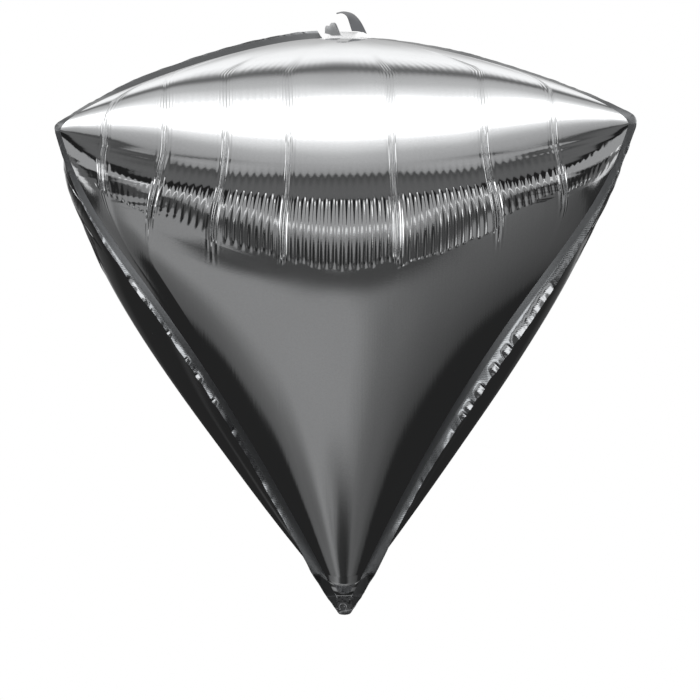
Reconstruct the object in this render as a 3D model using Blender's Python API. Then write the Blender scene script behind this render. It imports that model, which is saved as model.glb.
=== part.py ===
"""Foil balloon in the form of an upside-down pyramid with a domed top.

Four kite-shaped panels of metallised film run from the bottom tip to the apex. Each meets its
neighbours along four heat-sealed seams, and each seam has a flat flange that stands outwards.
Metres, +Z up. The origin is the lowest point of the tip seal, where a ribbon is tied. The front
panel faces -Y. Heights are above the origin, and reaches are measured out from the upright axis.
"""

import math

import bmesh
import bpy
from mathutils import Matrix, Vector

# Film and seals. The wall is far thicker than the real film, so that it is a sound solid.
WALL = 0.0020
WALL_SHARE_AT_TIP = 0.06
FIN_WIDTH = 0.0100
FIN_WIDTH_CORNER = 0.0050
FIN_CORNER_REACH = 0.022
FIN_WIDTH_TIP = 0.0045
FIN_TIP_REACH = 0.009
FIN_START = (0.0040, 0.0085)
FIN_LAST_ROW = 1.92
FIN_THICKNESS = 0.0012

# Above the corners a flange flops over towards the side panel, and is a little narrower.
FIN_WIDTH_ABOVE = 0.0085
FIN_LEAN_ABOVE = math.radians(66)
FIN_LEAN_ROWS = 0.22

GAP = 0.0003
PANEL_COUNT = 4
SEAM_AZIMUTH = math.pi / PANEL_COUNT

# Heights and reaches of the inflated envelope, at the seams and at a panel's mid-line.
SEAM_START = (0.0105, 0.0168)
MID_START = (0.0085, 0.0168)
CORNER_HEIGHT = 0.332
CORNER_REACH = 0.2625
APEX_HEIGHT = 0.4065
RIM_HEIGHT = 0.290
RIM_REACH = 0.182

# Handles that bend the curves between those points: reach and height of each handle.
SEAM_LOWER_HANDLES = ((0.158, 0.2375), (0.2295, 0.2485))
SEAM_UPPER_HANDLES = ((0.262, 0.3505), (0.060, 0.4110))
MID_LOWER_HANDLES = ((0.140, 0.181), (0.182, 0.259))

# The panels end below in a small blunt square, drawn in to this share of its size.
BLUNT_SHARE = 0.2
BLUNT_DROP = 0.0006

# Along the dome's mid-line, the row that ends at the corners lies this far above the rim.
CORNER_ROW_ANGLE = math.radians(8)

# How far a panel swells past a plain curve just inside its seams. Below the corners the swell
# starts at one row, is fullest at the next and falls steeply to nothing at the corners, which
# leaves the film there without a ridge. Above the corners it returns outwards and upwards.
SHOULDER = 0.0104
SHOULDER_START_ROW = 0.62
SHOULDER_FULL_ROW = 0.90
SHOULDER_FALL = 0.17
SHOULDER_REACH_ABOVE = 0.0100
SHOULDER_RISE_ABOVE = 0.0095
SHOULDER_POWER = 8
SHOULDER_RISE_RATE = 6.2

# Rows and columns of a panel. A crowding over 1 sets the rows closer near the corners.
ROWS_LOWER = 20
ROWS_UPPER = 11
ROW_CROWDING = 1.25
COLUMNS = 22
LAST_ROW = 1.978

# Tip seal: a flat rounded tab below the panels, which faces the front.
TAB_TOP_HEIGHT = 0.0159
TAB_TOP_HALF_WIDTH = 0.0095
TAB_END_RADIUS = 0.0046
TAB_THICKNESS = 0.0016
WELD_RADIUS = 0.0024
WELD_HEIGHT = 0.0056
WELD_THICKNESS = 0.0022

# Fill neck: the low upright film at the apex, and the curled tail that stands on it.
NECK_LEFT = -0.0140
NECK_RIGHT = 0.0290
NECK_RISE = 0.0060
NECK_THICKNESS = 0.0012
NECK_STEPS = 8
TAIL_DEPTH = 0.0140
TAIL_THICKNESS = 0.0010
TAIL_FOOT_FRONT = 0.0085
TAIL_FOOT_BACK = 0.0180
TAIL_TOP_HEIGHT = 0.4268
TAIL_SWEEP = math.radians(140)
TAIL_STEPS = 12

FILM_COLOUR = (0.74, 0.75, 0.77, 1.0)
SEAL_COLOUR = (0.62, 0.63, 0.66, 1.0)
TAIL_COLOUR = (0.80, 0.80, 0.81, 1.0)


def bezier(start, first, second, end, t):
    """Point at t on a cubic curve, as (reach, height)."""
    u = 1.0 - t
    weights = (u * u * u, 3 * u * u * t, 3 * u * t * t, t * t * t)
    points = (start, first, second, end)
    return tuple(sum(w * p[i] for w, p in zip(weights, points)) for i in (0, 1))


def seam_point(row):
    """Seam at row 0 (blunt end) to 1 (corner) to 2 (apex)."""
    if row <= 1.0:
        return bezier(SEAM_START, *SEAM_LOWER_HANDLES, (CORNER_REACH, CORNER_HEIGHT), row)
    return bezier((CORNER_REACH, CORNER_HEIGHT), *SEAM_UPPER_HANDLES, (0.0, APEX_HEIGHT), row - 1.0)


def dome_point(angle):
    """Mid-line above the rim: a quarter ellipse."""
    rise = APEX_HEIGHT - RIM_HEIGHT
    return (RIM_REACH * math.cos(angle), RIM_HEIGHT + rise * math.sin(angle))


def mid_point(row):
    """Mid-line of a panel at the same rows as the seam."""
    if row > 1.0:
        return dome_point(CORNER_ROW_ANGLE + (row - 1.0) * (math.pi / 2 - CORNER_ROW_ANGLE))
    share_below_rim = 1.0 - CORNER_ROW_ANGLE / 2
    if row < share_below_rim:
        t = row / share_below_rim
        return bezier(MID_START, *MID_LOWER_HANDLES, (RIM_REACH, RIM_HEIGHT), t)
    return dome_point(CORNER_ROW_ANGLE * (row - share_below_rim) / (1.0 - share_below_rim))


def swell(row):
    """Extra reach and extra height just inside the seams at a row."""
    if row <= SHOULDER_START_ROW:
        return 0.0, 0.0
    if row <= SHOULDER_FULL_ROW:
        t = (row - SHOULDER_START_ROW) / (SHOULDER_FULL_ROW - SHOULDER_START_ROW)
        return SHOULDER * t * t * (3.0 - 2.0 * t), 0.0
    if row <= 1.0:
        span = 1.0 - SHOULDER_FULL_ROW
        t = (row - SHOULDER_FULL_ROW) / span
        held = SHOULDER * (1.0 - t) ** 2 * (1.0 + 2.0 * t)
        return held + SHOULDER_FALL * span * t * t * (1.0 - t), 0.0
    t = row - 1.0
    bump = SHOULDER_RISE_RATE * t * (1.0 - t) ** 3
    return SHOULDER_REACH_ABOVE * bump, SHOULDER_RISE_ABOVE * bump


def panel_point(row, across):
    """Point of the front panel; across runs from -1 at the left seam to 1 at the right one."""
    seam_reach, seam_height = seam_point(row)
    mid_reach, mid_height = mid_point(row)
    extra_reach, extra_height = swell(row)
    half_width = seam_reach * math.sin(SEAM_AZIMUTH)
    edge_depth = seam_reach * math.cos(SEAM_AZIMUTH)
    bend = across * across
    edge = abs(across) ** SHOULDER_POWER
    reach = mid_reach + (edge_depth - mid_reach + extra_reach) * bend - extra_reach * edge
    height = mid_height + (seam_height - mid_height + extra_height) * bend - extra_height * edge
    return Vector((half_width * across, -reach, height))


def rows():
    """Rows from the blunt end to near the apex, closer together near the corners."""
    below = [(1.0 - i / ROWS_LOWER) ** ROW_CROWDING for i in range(ROWS_LOWER + 1)]
    above = [(i / ROWS_UPPER) ** ROW_CROWDING for i in range(1, ROWS_UPPER + 1)]
    return [1.0 - share for share in below] + [1.0 + (LAST_ROW - 1.0) * share for share in above]


def outward_normals(points):
    """In-plane outward direction at each point of a seam, longer at a corner to keep the width."""
    normals = []
    for i, point in enumerate(points):
        sides = []
        if i > 0:
            sides.append(Vector(point) - Vector(points[i - 1]))
        if i < len(points) - 1:
            sides.append(Vector(points[i + 1]) - Vector(point))
        units = [Vector((side.y, -side.x)).normalized() for side in sides]
        total = sum(units, Vector((0.0, 0.0))).normalized()
        normals.append(total / max(0.5, total.dot(units[0])))
    return normals


def make_material(name, colour, roughness):
    material = bpy.data.materials.new(name)
    material.use_nodes = True
    shader = material.node_tree.nodes["Principled BSDF"]
    shader.inputs["Base Color"].default_value = colour
    shader.inputs["Metallic"].default_value = 1.0
    shader.inputs["Roughness"].default_value = roughness
    return material


def add_object(name, bm, material, turn=0.0):
    bmesh.ops.recalc_face_normals(bm, faces=bm.faces)
    if bm.calc_volume(signed=True) < 0:
        bmesh.ops.reverse_faces(bm, faces=bm.faces)
    mesh = bpy.data.meshes.new(name)
    bm.to_mesh(mesh)
    bm.free()
    mesh.shade_smooth()
    mesh.set_sharp_from_angle(angle=math.radians(40))
    mesh.materials.append(material)
    node = bpy.data.objects.new(name, mesh)
    node.rotation_euler.z = turn
    bpy.context.scene.collection.objects.link(node)
    return node


def close_rings(bm, rings, cap=True):
    """Joins a list of equal closed rings of points into one tube, with its ends filled."""
    loops = [[bm.verts.new(point) for point in ring] for ring in rings]
    count = len(loops[0])
    for near, far in zip(loops, loops[1:]):
        for i in range(count):
            j = (i + 1) % count
            bm.faces.new((near[i], near[j], far[j], far[i]))
    if cap:
        bm.faces.new(loops[0])
        bm.faces.new(loops[-1])
    return loops


def make_panel(name, turn, material):
    """One film panel as a curved shell, kept clear of the two seam planes."""
    levels = rows()
    outer = [[panel_point(v, -1 + 2 * i / COLUMNS) for i in range(COLUMNS + 1)] for v in levels]
    blunt = [Vector((p.x * BLUNT_SHARE, p.y * BLUNT_SHARE, p.z - BLUNT_DROP)) for p in outer[0]]
    outer.insert(0, blunt)
    start = (SEAM_START[0] * BLUNT_SHARE, SEAM_START[1] - BLUNT_DROP)
    seam = outward_normals([start] + [seam_point(v) for v in levels])
    inner = []
    for j, row in enumerate(outer):
        wall = min(WALL, WALL_SHARE_AT_TIP * row[-1].x)
        line = []
        for i, point in enumerate(row):
            if i in (0, COLUMNS):
                side = -1.0 if i == 0 else 1.0
                inwards = seam[j] * wall * 1.2
                flat = Vector((side * math.sin(SEAM_AZIMUTH), -math.cos(SEAM_AZIMUTH), 0.0))
                line.append(point - flat * inwards.x - Vector((0.0, 0.0, inwards.y)))
                continue
            across = row[i + 1] - row[i - 1]
            up = outer[min(j + 1, len(outer) - 1)][i] - outer[max(j - 1, 0)][i]
            line.append(point - across.cross(up).normalized() * wall)
        inner.append(line)
    bm = bmesh.new()
    rings = []
    for out_row, in_row in zip(outer, inner):
        ring = list(out_row) + list(reversed(in_row))
        for i in (0, COLUMNS, COLUMNS + 1, 2 * COLUMNS + 1):
            side = 1.0 if ring[i].x < 0 else -1.0
            off_plane = Vector((side * math.cos(SEAM_AZIMUTH), -math.sin(SEAM_AZIMUTH), 0.0))
            ring[i] = ring[i] + off_plane * GAP * 0.6
        rings.append(ring)
    loops = close_rings(bm, rings, cap=False)
    last = 2 * COLUMNS + 1
    for loop in (loops[0], loops[-1]):
        for i in range(COLUMNS):
            bm.faces.new((loop[i], loop[i + 1], loop[last - i - 1], loop[last - i]))
    return add_object(name, bm, material, turn)


def fin_path():
    """Rows of a flange, which are those of the panels it joins, and its points going upwards."""
    levels = [row for row in rows() if row < FIN_LAST_ROW] + [FIN_LAST_ROW]
    return [0.0] + levels, [FIN_START] + [seam_point(row) for row in levels]


def fin_width(row, point):
    middle = FIN_WIDTH if row <= 1.0 else FIN_WIDTH_ABOVE
    from_corner = (Vector(point) - Vector((CORNER_REACH, CORNER_HEIGHT))).length
    from_start = (Vector(point) - Vector(FIN_START)).length
    near_corner = math.exp(-((from_corner / FIN_CORNER_REACH) ** 2))
    near_tip = math.exp(-((from_start / FIN_TIP_REACH) ** 2))
    width = middle + (FIN_WIDTH_CORNER - middle) * near_corner
    return width + (FIN_WIDTH_TIP - middle) * near_tip


def make_fin(name, turn, lean_side, material):
    """The heat-sealed flange of one seam: in its seam's plane below, flopped over above."""
    levels, points = fin_path()
    rings = []
    for row, point, normal in zip(levels, points, outward_normals(points)):
        share = min(1.0, max(0.0, (row - 1.0) / FIN_LEAN_ROWS))
        lean = lean_side * FIN_LEAN_ABOVE * share * share * (3.0 - 2.0 * share)
        foot = Vector((point[0], 0.0, point[1]))
        out = Vector((normal.x, 0.0, normal.y))
        along = out * math.cos(lean) + Vector((0.0, out.length * math.sin(lean), 0.0))
        through = along.cross(Vector((out.z, 0.0, -out.x))).normalized() * FIN_THICKNESS / 2
        clear = GAP + abs(math.sin(lean)) * FIN_THICKNESS / 2
        inner = foot + out * clear
        outer = inner + along * (fin_width(row, point) - clear)
        rings.append([inner - through, outer - through, outer + through, inner + through])
    bm = bmesh.new()
    close_rings(bm, rings)
    return add_object(name, bm, material, turn)


def make_tip_seal(material):
    """Rounded tab: straight sides that run down to a round end, with a round weld across it."""
    half = TAB_THICKNESS / 2
    centre = TAB_END_RADIUS
    slope = math.atan2(TAB_TOP_HALF_WIDTH - TAB_END_RADIUS, TAB_TOP_HEIGHT - centre)
    outline = [(-TAB_TOP_HALF_WIDTH, TAB_TOP_HEIGHT)]
    steps = 12
    for i in range(steps + 1):
        angle = math.pi - slope * 0.5 + (math.pi + slope) * i / steps
        outline.append((TAB_END_RADIUS * math.cos(angle), centre + TAB_END_RADIUS * math.sin(angle)))
    outline.append((TAB_TOP_HALF_WIDTH, TAB_TOP_HEIGHT))
    bm = bmesh.new()
    close_rings(bm, [[Vector((x, side, z)) for x, z in outline] for side in (-half, half)])
    tab = add_object("tip_seal", bm, material)
    weld = bmesh.new()
    turn = Matrix.Rotation(math.pi / 2, 4, "X")
    place = Matrix.Translation((0.0, 0.0, WELD_HEIGHT)) @ turn
    bmesh.ops.create_cone(
        weld, cap_ends=True, segments=24, radius1=WELD_RADIUS, radius2=WELD_RADIUS,
        depth=WELD_THICKNESS, matrix=place,
    )
    disc = add_object("tip_weld_shape", weld, material)
    disc.hide_render = True
    disc.display_type = "WIRE"
    union = tab.modifiers.new("weld", "BOOLEAN")
    union.operation = "UNION"
    union.object = disc
    return tab


def dome_height(x):
    """Height of the side panels' mid-line at this distance from the axis."""
    rise = APEX_HEIGHT - RIM_HEIGHT
    return RIM_HEIGHT + rise * math.sqrt(max(0.0, 1.0 - (x / RIM_REACH) ** 2))


def make_fill_neck(material):
    """Low upright strip of film that follows the top of the dome."""
    half = NECK_THICKNESS / 2
    rings = []
    for i in range(NECK_STEPS + 1):
        x = NECK_LEFT + (NECK_RIGHT - NECK_LEFT) * i / NECK_STEPS
        foot = dome_height(x) + GAP
        top = APEX_HEIGHT + NECK_RISE
        rings.append([
            Vector((x, -half, foot)),
            Vector((x, half, foot)),
            Vector((x, half, top)),
            Vector((x, -half, top)),
        ])
    bm = bmesh.new()
    close_rings(bm, rings)
    return add_object("fill_neck", bm, material)


def tail_curve(foot_x, tip_x, foot_height, t):
    """Curl of the tail seen from the front: up from its foot, over and down to the left."""
    angle = t * TAIL_SWEEP
    x = tip_x + (foot_x - tip_x) * math.cos(angle)
    return x, foot_height + (TAIL_TOP_HEIGHT - foot_height) * math.sin(angle)


def make_fill_tail(material):
    """A short curled strip, broader at the back than at the front."""
    foot = APEX_HEIGHT + NECK_RISE + GAP
    rings = []
    for i in range(TAIL_STEPS + 1):
        t = i / TAIL_STEPS
        front = tail_curve(TAIL_FOOT_FRONT, -0.0030, foot, t)
        back = tail_curve(TAIL_FOOT_BACK, 0.0005, foot, t)
        inner_front = tail_curve(TAIL_FOOT_FRONT - TAIL_THICKNESS, -0.0030, foot, t)
        inner_back = tail_curve(TAIL_FOOT_BACK - TAIL_THICKNESS, 0.0005, foot, t)
        drop = TAIL_THICKNESS
        rings.append([
            Vector((front[0], -TAIL_DEPTH / 2, front[1])),
            Vector((back[0], TAIL_DEPTH / 2, back[1])),
            Vector((inner_back[0], TAIL_DEPTH / 2, inner_back[1] - drop * math.sin(t * math.pi))),
            Vector((inner_front[0], -TAIL_DEPTH / 2, inner_front[1] - drop * math.sin(t * math.pi))),
        ])
    bm = bmesh.new()
    close_rings(bm, rings)
    return add_object("fill_tail", bm, material)


def main():
    for old in list(bpy.data.objects):
        bpy.data.objects.remove(old, do_unlink=True)
    film = make_material("film", FILM_COLOUR, 0.22)
    seal = make_material("seal", SEAL_COLOUR, 0.30)
    tail = make_material("tail", TAIL_COLOUR, 0.35)
    quarter = 2 * math.pi / PANEL_COUNT
    for i, side in enumerate(("front", "right", "back", "left")):
        make_panel("panel_" + side, i * quarter, film)
    corners = ("front_right", "back_right", "back_left", "front_left")
    for i, corner in enumerate(corners):
        lean_side = 1.0 if i % 2 == 0 else -1.0
        make_fin("seam_fin_" + corner, -SEAM_AZIMUTH + i * quarter, lean_side, seal)
    make_tip_seal(seal)
    make_fill_neck(tail)
    make_fill_tail(tail)


main()
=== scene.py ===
"""Looks of the foil balloon: fine film panels, crinkled seam flanges, tip seal and fill tail.

Metres, +Z up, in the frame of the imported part. The origin is the lowest point of the tip seal
and the front panel faces -Y. "row" runs from 0 at the blunt lower end of the panels through 1
at the corners to 2 at the apex, and "across" runs from -1 at a panel's left seam to 1 at its
right one. The film mirrors a studio that the world's nodes draw, so its bands of light are
placed by direction: azimuth 0 is towards the camera, and elevation is above the horizon.
"""

import math
from functools import partial

import bpy
import numpy as np
from mathutils import Matrix


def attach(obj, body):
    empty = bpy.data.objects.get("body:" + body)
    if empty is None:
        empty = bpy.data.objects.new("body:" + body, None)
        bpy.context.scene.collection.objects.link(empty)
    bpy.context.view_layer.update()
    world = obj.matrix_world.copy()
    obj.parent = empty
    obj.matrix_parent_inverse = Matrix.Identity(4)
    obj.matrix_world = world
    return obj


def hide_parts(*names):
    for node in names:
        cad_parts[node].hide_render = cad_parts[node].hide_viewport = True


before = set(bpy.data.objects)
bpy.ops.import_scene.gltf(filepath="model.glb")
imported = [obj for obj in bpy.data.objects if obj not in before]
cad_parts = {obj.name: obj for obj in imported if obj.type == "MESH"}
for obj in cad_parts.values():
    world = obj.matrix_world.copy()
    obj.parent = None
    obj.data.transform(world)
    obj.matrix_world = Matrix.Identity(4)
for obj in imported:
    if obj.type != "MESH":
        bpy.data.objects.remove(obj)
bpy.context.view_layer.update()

# Envelope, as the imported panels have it: (reach, height) of its points and of the curves'
# handles between them, at the seams and along a panel's middle.
PANEL_COUNT = 4
SEAM_AZIMUTH = math.pi / PANEL_COUNT
SEAM_START = (0.0105, 0.0168)
MID_START = (0.0085, 0.0168)
CORNER = (0.2625, 0.332)
APEX_HEIGHT = 0.4065
RIM = (0.182, 0.290)
SEAM_LOWER_HANDLES = ((0.158, 0.2375), (0.2295, 0.2485))
SEAM_UPPER_HANDLES = ((0.262, 0.3505), (0.060, 0.4110))
MID_LOWER_HANDLES = ((0.140, 0.181), (0.182, 0.259))
CORNER_ROW_ANGLE = math.radians(8)

# A panel swells past those curves just inside its seams, differently below and above the
# corners.
SHOULDER = 0.0104
SHOULDER_START_ROW = 0.62
SHOULDER_FULL_ROW = 0.90
SHOULDER_FALL = 0.17
SHOULDER_REACH_ABOVE = 0.0100
SHOULDER_RISE_ABOVE = 0.0095
SHOULDER_POWER = 8
SHOULDER_RISE_RATE = 6.2

# Mesh of a panel. Its lowest stretch, at the tip, is a finer patch of its own.
# Columns crowd round the middle and the pleats, each by a spread and a weight.
PANEL_COLUMNS = 860
JOIN_ROW = 0.021
RIM_ROW = 1.02
LAST_ROW = 1.985
ROW_COUNTS = (18, 24, 36, 28)
TABLE_ROWS = 401
EDGE_BAND = (0.014, 0.036)
EDGE_AVERAGE = 17
MIDDLE_CROWDING = (0.62, 1.2)
PLEAT_CROWDING = (0.022, 1.5)
TIP_ROWS = 70
TIP_COLUMNS = 70

# Pressed tip: below an arched crease the film is flattened towards the seal. TIP_END is where it
# ends: half-width, distance from the seal's plane and height.
PRESS_TOP = 0.0213
PRESS_ARCH = 0.0040
PRESS_ARCH_REACH = 0.0115
PRESS_BOTTOM = 0.0135
PRESS_SHARE = 0.14
TIP_END = (0.0064, 0.0034, 0.0098)
CREASE_HEIGHT = 0.00034
CREASE_WIDTH = 0.0007
CREASE_STEP = 0.004
CREASE_MARGIN = 0.003

# Folds gathered over the rim, which spread slightly on their way down. Pairs named ROWS are
# rows between which something fades, and two such pairs are where it sets in and where it ends.
RIM_HALF_WIDTH = CORNER[0] * math.sin(SEAM_AZIMUTH)
FOLD_LENGTH = 0.0046
FOLD_HEIGHT = 0.00027
FOLD_OVERTONES = (-0.15, 0.03)
FOLD_DRIFT = (0.5, 0.020)
FOLD_LEVEL = (0.90, 0.12, 0.0070)
FOLD_SPREAD = 0.115
FOLD_SPREAD_LOSS = 1.2
FOLD_SPREAD_ROWS = (0.70, 1.08)
FOLD_LINE_ROWS = (0.62, 1.45)
FOLD_LINE_LIMIT = (0.85, 0.13)
FOLD_RIM_ROWS = (0.92, 1.00)
FOLD_DOME_SHARE = 0.05
FOLD_DOME_ROWS = (1.40, 1.80)

# Row of the folds' lower edge in the middle of a panel, its rise to the seams and the power of
# that rise, and its raggedness in rows.
LOWER_EDGE = (0.606, 0.27, 1.7)
LOWER_EDGE_NOISE = 0.006

# Dimples at the folds' ends: row above the edge, size in rows, how far out across a panel they
# fade, how sharply the folds have to end for them, and the folds' least strength there.
DIMPLE_ROW = 0.009
DIMPLE_SIZE = 0.008
DIMPLE_SIDES = (0.84, 0.92)
DIMPLE_ENDS = (0.030, 0.012)
DIMPLE_STRENGTH = 0.60

# Stretches between pleats: they belly out round one row and tip about another.
BELLY_HEIGHT = 0.0004
BELLY_ROW = 0.90
BELLY_SIZE = 0.13
TIPPING_ROW = 0.93
TIPPING_BLEND = 0.012

# Pleats: packets of finer waves, between the corners' rows and, fainter, up the dome.
PLEAT_LENGTH = 0.0032
PLEAT_REACH = 0.0031
PLEAT_HEIGHT = 0.00058
PLEAT_TILT = 0.5
PLEAT_FADE = 0.05
PLEAT_OVERRUN = 0.004
PLEAT_TOP_ROWS = (1.07, 1.18)
PLEAT_ALONE_ROWS = ((0.55, 0.65), (1.1, 1.2))
DOME_PLEAT_LENGTH = 0.0021
DOME_PLEAT_REACH = 0.0042
DOME_PLEAT_HEIGHT = 0.00007
DOME_PLEAT_ROWS = ((1.10, 1.25), (1.52, 1.70))

# Below the folds the film swells a little: height, rows, and place and width across a panel.
SWELL_HEIGHT = 0.0019
SWELL_ROWS = 0.10
SWELL_PLACE = -0.56
SWELL_WIDTH = 0.21

# The film is slightly uneven all over, and finely wrinkled towards the corners.
SEAM_MARGIN = 0.005
UNEVEN_HEIGHT = 0.00012
UNEVEN_STEPS = (0.11, 0.16)
UNEVEN_MARGIN = 0.02
WRINKLE_HEIGHT = 0.00022
WRINKLE_SIDES = (0.58, 0.85)
WRINKLE_TAPER = (1.05, 0.4)
WRINKLE_ROWS = ((0.72, 0.80), (1.02, 1.06))
WRINKLE_STEPS = ((0.018, 0.5), (0.009, 0.3))

# Above and below the corners the film is rounded over this many rows, but not at the seams.
ROUNDING = 0.035
ROUNDED_FROM = (0.35, 0.70)
ROUNDED_MARGIN = 0.06
ROUNDED_ROWS = ((0.55, 0.65), (1.25, 1.35))

# Seeds of the random draws.
PANEL_SEED = 40
FLANGE_SEED = 70
TAB_SEED = 11
NECK_SEED = 23
ROLL_SEED = 31

# The envelope bows slightly to the left between the tip and the corners, and the lower film of
# some panels lies a little further in.
BOW = 0.0018
BOW_TOP = 0.33
SLIM = {"front": 0.0, "right": 0.0012, "back": 0.0010, "left": 0.0027}
SLIM_ROWS = ((0.03, 0.25), (0.80, 0.98))

# Pleats of the front panel, as shares of its half-width at the rim. For each section between
# them: how far the lower edge of its folds lies off the curve, how strong they are, over how
# many rows they end, and how far the film tips outwards.
FRONT_PLEATS = (-0.845, -0.633, -0.419, -0.196, 0.168, 0.493, 0.737)
FRONT_EDGE_STEPS = (0.0, -0.018, 0.0, -0.004, 0.0, -0.020, 0.030, 0.0)
FRONT_STRENGTHS = (0.0, 0.12, 0.50, 0.95, 1.0, 0.95, 0.62, 0.10)
FRONT_ENDS = (0.010, 0.010, 0.030, 0.032, 0.026, 0.010, 0.010, 0.010)
FRONT_TIPS = (0.0, 0.020, 0.030, 0.004, 0.0, 0.004, 0.010, 0.0)

# Ranges of the same for the other panels, which are drawn at random.
OTHER_PLEATS = (-0.80, 0.78)
OTHER_PLEAT_SHIFT = 0.04
OTHER_EDGE_STEP = 0.018
OTHER_ENDS = (0.010, 0.030)
OTHER_TIP = 0.012

# Flanges: where the path starts and its last row, steps along and across, and widths in
# millimetres at the rows listed.
FLANGE_START = (0.0040, 0.0085)
FLANGE_LAST_ROW = 1.93
FLANGE_STEPS = 1100
FLANGE_DIVISIONS = 8
FLANGE_THICKNESS = 0.0003
FLANGE_ROWS = (
    -0.02, 0.0, 0.012, 0.03, 0.06, 0.12, 0.20, 0.35, 0.45, 0.55, 0.68, 0.80, 0.92, 1.0, 1.06, 1.15,
    1.40, 1.90,
)
FRONT_RIGHT_WIDTHS = (
    5.8, 7.9, 9.9, 9.9, 9.8, 9.8, 12.0, 14.6, 14.2, 12.8, 10.0, 7.2, 6.0, 6.4, 5.0, 4.2, 4.2, 5.0,
)
FRONT_LEFT_WIDTHS = (
    5.8, 7.9, 9.9, 9.9, 9.8, 9.8, 9.6, 9.2, 9.0, 8.8, 8.2, 6.4, 4.6, 4.0, 4.0, 4.0, 6.0, 7.4,
)
BACK_WIDTHS = (
    5.8, 7.9, 9.9, 9.9, 9.8, 9.8, 10.0, 10.4, 10.2, 9.6, 8.6, 6.8, 5.4, 5.2, 4.4, 4.0, 4.4, 5.4,
)

# The heat-pressed part of a flange is duller: up to this travel, and this far from the seam.
SEALED_TRAVEL = (0.060, 0.085)
SEALED_WIDTH = (0.0048, 0.0062)
SEALED_SHADE = 0.46
SEALED_ROUGHNESS = 0.34

# The outer share of a flange curls in patches of this spacing and width, and all along some
# rows. Its wrinkles have a height in radians and a step.
PATCHES = (0.0155, 0.0085)
PATCHES_FRONT_LEFT = (0.023, 0.0065)
PATCH_ROWS = ((0.20, 0.27), (0.44, 0.50))
UPPER_PATCH_ROWS = (0.86, 0.90)
CURLED_ROWS = ((0.39, 0.42), (0.53, 0.57))
CURLED_ROWS_FRONT_LEFT = ((0.49, 0.51), (0.55, 0.59))
CURL_END_ROWS = (0.94, 1.0)
CURL = math.radians(23)
OUTER_SHARE = (0.45, 0.90)
CRINKLES = ((0.11, 0.0024), (0.08, 0.0011))
CURL_DRIFT = (0.06, 0.014)
CRINKLE_SLANT = 0.9
UPPER_ROWS = (0.98, 1.05)
UPPER_CRINKLE = (0.10, 0.004)
WIDTH_NOISE = (0.0003, 0.012)
WIDTH_AVERAGE = 31
START_STEPS = 20

# Above the corners the flanges lean back: rows, and the lean there in degrees.
FRONT_LEFT_LEAN = (
    (1.0, 0), (1.05, 48), (1.10, 72), (1.16, 80), (1.28, 79), (1.40, 56), (1.60, 50), (1.93, 38),
)
OTHER_LEAN = (
    (1.0, 0), (1.06, 34), (1.12, 56), (1.20, 70), (1.30, 78), (1.50, 74), (1.60, 68), (1.80, 80),
    (1.93, 84),
)

# Tip seal: half-widths at the heights listed, a round weld with a raised rim, and a crease:
# its height, its place, how it slants and its width.
TAB_TOP = 0.0160
TAB_HEIGHTS = (0.0, 0.0002, 0.0006, 0.0020, 0.0034, 0.0062, 0.0104, 0.0160)
TAB_HALF_WIDTHS = (0.0, 0.0023, 0.0038, 0.0050, 0.0058, 0.0079, 0.0106, 0.0145)
TAB_HALF_THICKNESS = 0.0008
WELD_PLACE = (-0.0012, 0.0056)
WELD_RADIUS = 0.0026
WELD_RIM = 0.0006
WELD_HOLLOW = 0.00045
TAB_CRUMPLE = (0.00018, 0.0013)
TAB_CREASE = (0.00035, 0.0022, 0.2, 0.0006)

# Neck: a low crumpled ridge of film from left to right over the apex. By NECK_BULGE it may stand
# above its top, and its sides sink into the dome.
NECK_LEFT = -0.0140
NECK_RIGHT = 0.0295
NECK_TOP = 0.4122
NECK_DEPTH = 0.0070
NECK_BULGE = 0.0006
NECK_ENDS = (0.004, 0.012)
NECK_RAGGEDNESS = (0.35, 0.007)
NECK_CRUMPLE = (0.0004, 0.0040, 0.0030)
NECK_FINE_CRUMPLE = (0.0002, 0.0015, 0.0020)

# Camera, with its focal length in pixels of the photo.
CAMERA_DISTANCE = 2.4
CAMERA_PIXELS = 3396.0
PHOTO_SIDE = 700
CAMERA_HEIGHT = 0.1871
CAMERA_SIDE = 0.0064
CAMERA_YAW = math.radians(1.6)
CAMERA_ROLL = math.radians(0.8)
FLOOR_HEIGHT = -2.0

# Light of the studio against elevation in degrees, in front and behind.
FRONT_STOPS = (
    (-90, 0.07), (-10, 0.07), (-8.5, 0.12), (0, 0.13), (10, 0.12), (20.5, 0.07), (22.3, 0.31),
    (25, 0.34), (28, 0.39), (34, 0.44), (40, 0.51), (43, 0.59), (46, 0.71), (49, 0.83), (52, 0.96),
    (55, 1.15), (58, 1.7), (90, 1.7),
)
BACK_STOPS = (
    (-90, 0.02), (-10, 0.02), (-3, 0.06), (1, 0.40), (6, 0.46), (14, 0.50), (22, 0.60), (28, 0.82),
    (34, 1.05), (43, 1.16), (47, 1.0), (49, 0.86), (51, 0.44), (53, 0.28), (55, 0.15), (57, 0.15),
    (59, 0.24), (60, 0.34), (62, 0.46), (67, 0.55), (70, 0.58), (73, 0.71), (77, 0.88), (80, 1.05),
    (82, 1.2), (84, 1.7), (90, 1.7),
)

# Below the horizon, in degrees. A dark gap round azimuth 0 closes downwards: its elevations and
# its widest azimuth. A bright line beside it runs outwards and down: its first azimuth, slope,
# half-width and last elevation. A level line: its elevations, and the azimuths where it fades.
# Below that a light patch narrows: its elevations and azimuths. Further out it is dark.
GAP = (-10.0, -38.0, 26.0)
LINE = (32.0, 1.08, 3.6, -27.0)
LEVEL_LINE = (-38.0, -40.6, 14.0, 30.0)
NARROWING = (-41.5, -51.5, 34.0, 2.0)
DARK_FROM = 35.0

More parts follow.
